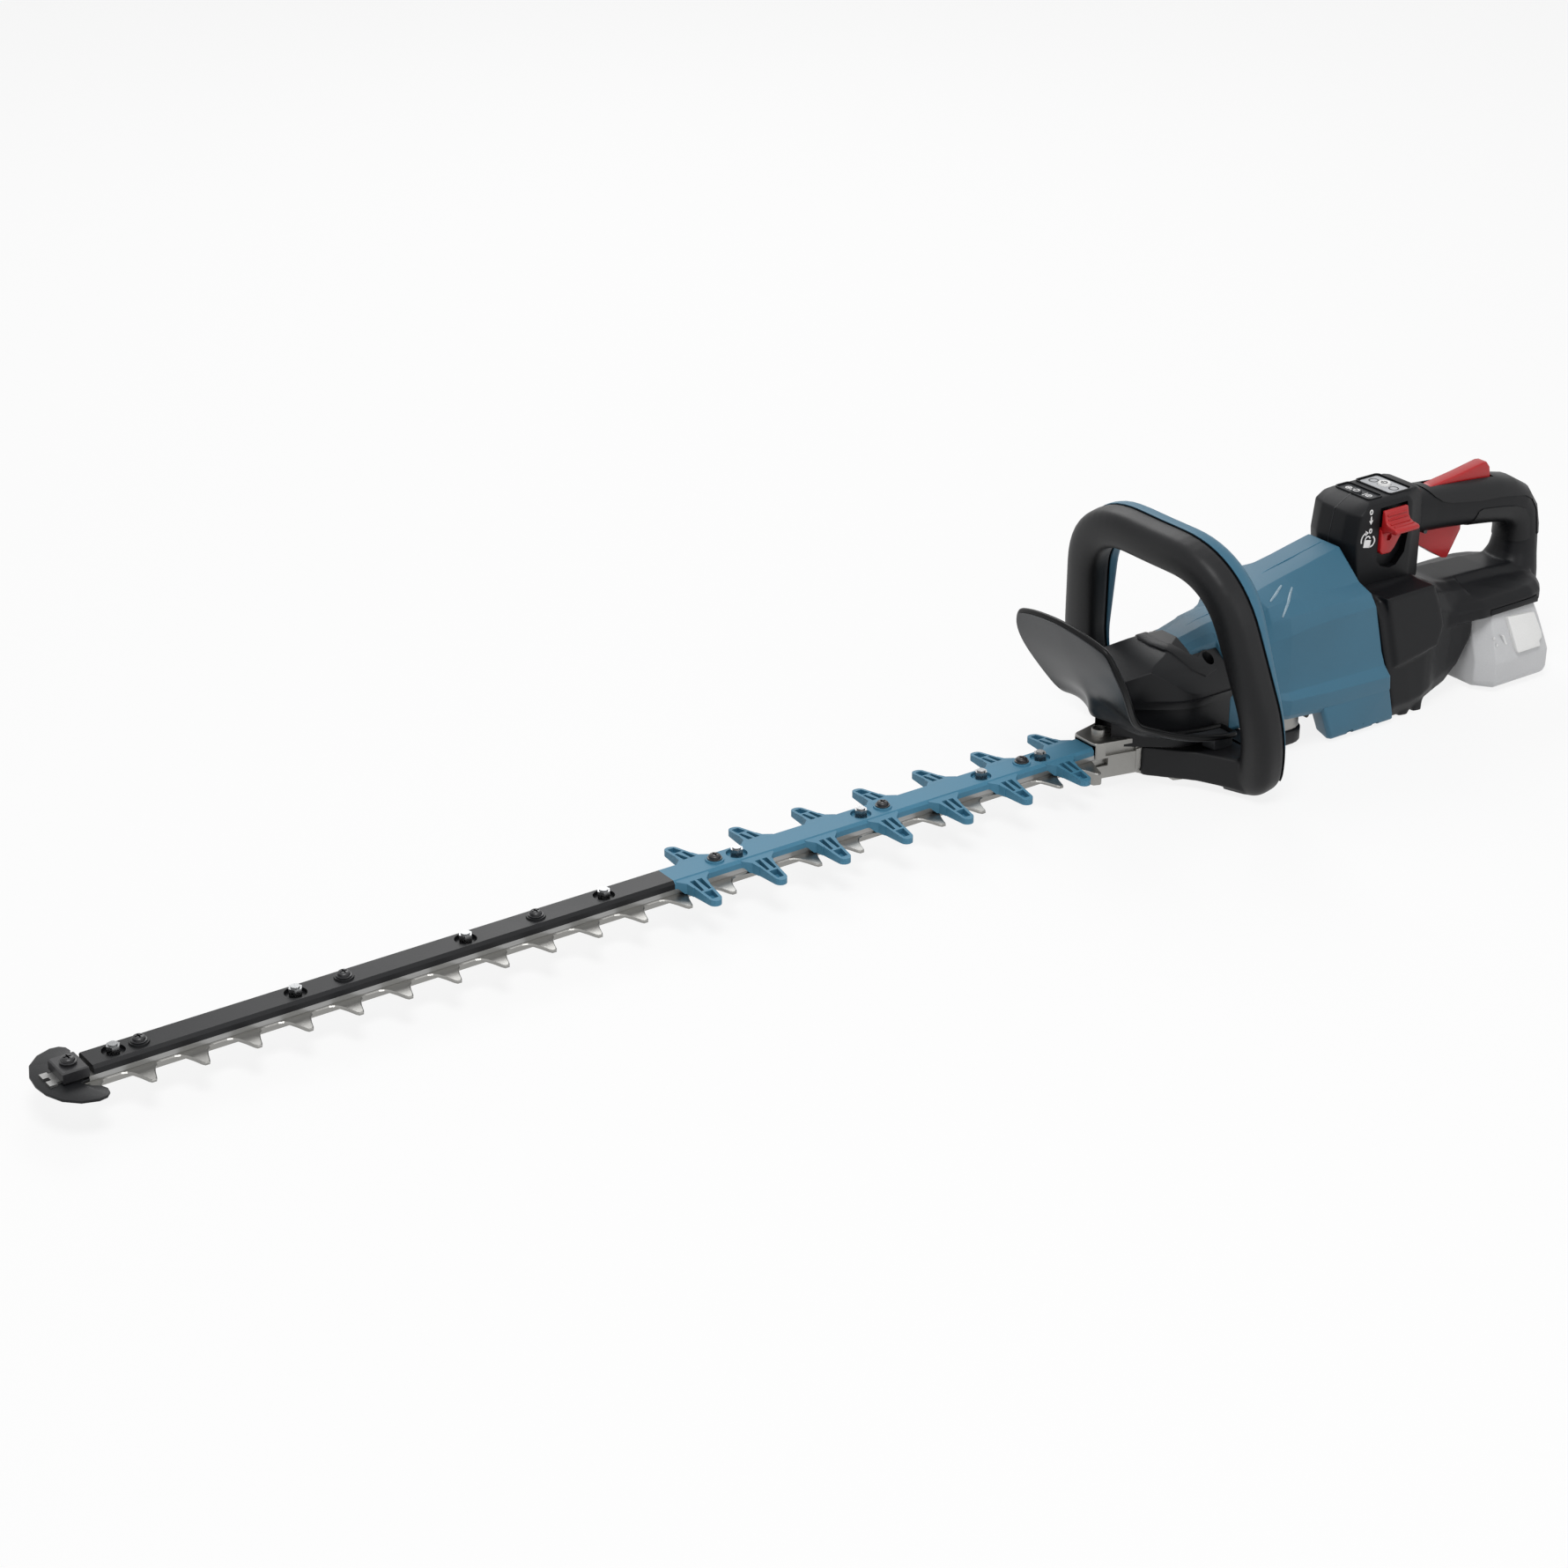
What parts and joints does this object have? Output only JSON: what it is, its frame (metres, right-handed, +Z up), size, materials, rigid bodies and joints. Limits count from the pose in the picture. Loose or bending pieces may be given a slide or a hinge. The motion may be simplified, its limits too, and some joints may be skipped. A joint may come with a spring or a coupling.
{
  "type": "hedge trimmer",
  "caption": "Cordless hedge trimmer with double-sided reciprocating shear blades, wrap-around front handle, hand guard, swivelling rear handle and slide-on battery.",
  "frame": {"origin": "on the ground under the foot of the front handle, on the middle plane", "axes": "+X along the tool to the rear handle, -X to the blade tip, +Z up, -Y the side with the swivel lock lever and the battery release"},
  "size_m": [1.251, 0.2226, 0.1946],
  "materials": {
    "blade_steel": "ground",
    "bar_steel": "brushed",
    "zinc_steel": "zinc plated",
    "black_steel": "satin",
    "hard_steel": "machined",
    "bearing_steel": "polished",
    "cast_aluminium": "as cast",
    "teal_plastic": "fine texture",
    "black_plastic": "fine texture",
    "grip_rubber": "soft",
    "guard_plastic": "satin",
    "red_plastic": "gloss",
    "panel_film": "satin",
    "button_plastic": "satin",
    "battery_plastic": "satin",
    "white_plastic": "satin",
    "copper_core": "laminated",
    "cell_sleeve": "shrink film",
    "fan_plastic": "moulded",
    "board_resin": "potted"
  },
  "bodies": {
    "tool_body": {"guide_bar": "bar_steel", "blade_cover_front": "black_plastic", "blade_cover_rear": "teal_plastic", "guide_bolts": "zinc_steel", "guide_nuts": "zinc_steel", "cover_screws": "black_steel", "tip_guard": "black_steel", "tip_clamp": "black_steel", "tip_screw": "black_steel", "gear_case_lower": "cast_aluminium", "gear_case_upper": "cast_aluminium", "nose_bolt": "black_steel", "crank_bearings": "bearing_steel", "idler_pin": "hard_steel", "stator": "copper_core", "motor_bearings": "bearing_steel", "front_handle_front": "grip_rubber", "front_handle_rear": "teal_plastic", "gear_cover": "black_plastic", "gear_cover_screws": "black_steel", "hand_guard": "guard_plastic", "motor_housing_left": "teal_plastic", "motor_housing_right": "teal_plastic", "motor_housing_screws": "black_steel"},
    "upper_blade_set": {"upper_blade": "blade_steel"},
    "lower_blade_set": {"lower_blade": "blade_steel"},
    "upper_rod_set": {"upper_rod": "hard_steel"},
    "lower_rod_set": {"lower_rod": "hard_steel"},
    "crank": {"crankshaft": "hard_steel", "crank_gear": "hard_steel"},
    "idler": {"idler_gear": "hard_steel"},
    "motor_rotor": {"rotor": "hard_steel", "motor_pinion": "hard_steel", "cooling_fan": "fan_plastic"},
    "rear_handle": {"rear_housing_left": "black_plastic", "rear_housing_right": "black_plastic", "rear_housing_screws": "black_steel", "swivel_ring": "cast_aluminium", "control_panel": "panel_film", "switch_unit": "fan_plastic", "controller_board": "board_resin", "terminal_block": "fan_plastic", "trigger_pin": "hard_steel", "lockoff_pin": "hard_steel"},
    "trigger_lever": {"trigger": "red_plastic"},
    "lock_off": {"lock_off_lever": "red_plastic"},
    "swivel_lock": {"swivel_lock_lever": "red_plastic"},
    "power_key": {"power_button": "button_plastic"},
    "reverse_key": {"reverse_button": "button_plastic"},
    "battery_pack": {"battery_top": "battery_plastic", "battery_tray": "battery_plastic", "battery_cells": "cell_sleeve"},
    "battery_release": {"battery_button": "white_plastic"}
  },
  "joints": [
    {"name": "upper_blade_slide", "type": "slide", "parent": "tool_body", "child": "upper_blade_set", "axis": [1, 0, 0], "range_m": [-0.00875, 0.00875]},
    {"name": "lower_blade_slide", "type": "slide", "parent": "tool_body", "child": "lower_blade_set", "axis": [1, 0, 0], "range_m": [-0.00875, 0.00875]},
    {"name": "upper_rod_swing", "type": "hinge", "parent": "upper_blade_set", "child": "upper_rod_set", "pos_m": [-0.072, 0, 0.027], "axis": [0, 0, 1], "range_deg": [-23.5, 0]},
    {"name": "lower_rod_swing", "type": "hinge", "parent": "lower_blade_set", "child": "lower_rod_set", "pos_m": [-0.072, 0, 0.017], "axis": [0, 0, 1], "range_deg": [0, 23.5]},
    {"name": "crank_spin", "type": "hinge", "parent": "tool_body", "child": "crank", "pos_m": [-0.03, 0, 0.03], "axis": [0, 0, 1], "continuous": true},
    {"name": "idler_spin", "type": "hinge", "parent": "tool_body", "child": "idler", "pos_m": [0.01125, 0, 0.042], "axis": [0, 0, 1], "continuous": true},
    {"name": "rotor_spin", "type": "hinge", "parent": "tool_body", "child": "motor_rotor", "pos_m": [0.04125, 0, 0.085], "axis": [0, 0, 1], "continuous": true},
    {"name": "rear_handle_swivel", "type": "hinge", "parent": "tool_body", "child": "rear_handle", "pos_m": [0.141, 0, 0.072], "axis": [0.9659, 0, 0.2588], "range_deg": [-90, 90]},
    {"name": "trigger_pull", "type": "hinge", "parent": "rear_handle", "child": "trigger_lever", "pos_m": [0.216, 0, 0.129], "axis": [0, -1, 0], "range_deg": [0, 8], "stiffness_Nm_per_rad": 0.8},
    {"name": "lock_off_press", "type": "hinge", "parent": "rear_handle", "child": "lock_off", "pos_m": [0.231, 0, 0.1545], "axis": [0, 1, 0], "range_deg": [0, 4], "stiffness_Nm_per_rad": 0.8},
    {"name": "swivel_lock_pull", "type": "slide", "parent": "rear_handle", "child": "swivel_lock", "axis": [0, 0, -1], "range_m": [0, 0.008], "stiffness_N_per_m": 400},
    {"name": "power_press", "type": "slide", "parent": "rear_handle", "child": "power_key", "axis": [0, 0, -1], "range_m": [0, 0.0008], "stiffness_N_per_m": 400},
    {"name": "reverse_press", "type": "slide", "parent": "rear_handle", "child": "reverse_key", "axis": [0, 0, -1], "range_m": [0, 0.0008], "stiffness_N_per_m": 400},
    {"name": "battery_slide", "type": "slide", "parent": "rear_handle", "child": "battery_pack", "axis": [0, -1, 0], "range_m": [0, 0.1]},
    {"name": "battery_release_press", "type": "slide", "parent": "battery_pack", "child": "battery_release", "axis": [0, 1, 0], "range_m": [0, 0.003], "stiffness_N_per_m": 500}
  ],
  "couplings": [
    {"joint": "lower_blade_slide", "follows": "upper_blade_slide", "ratio": -1},
    {"joint": "idler_spin", "follows": "crank_spin", "ratio": -4.5},
    {"joint": "rotor_spin", "follows": "crank_spin", "ratio": 22.5}
  ]
}
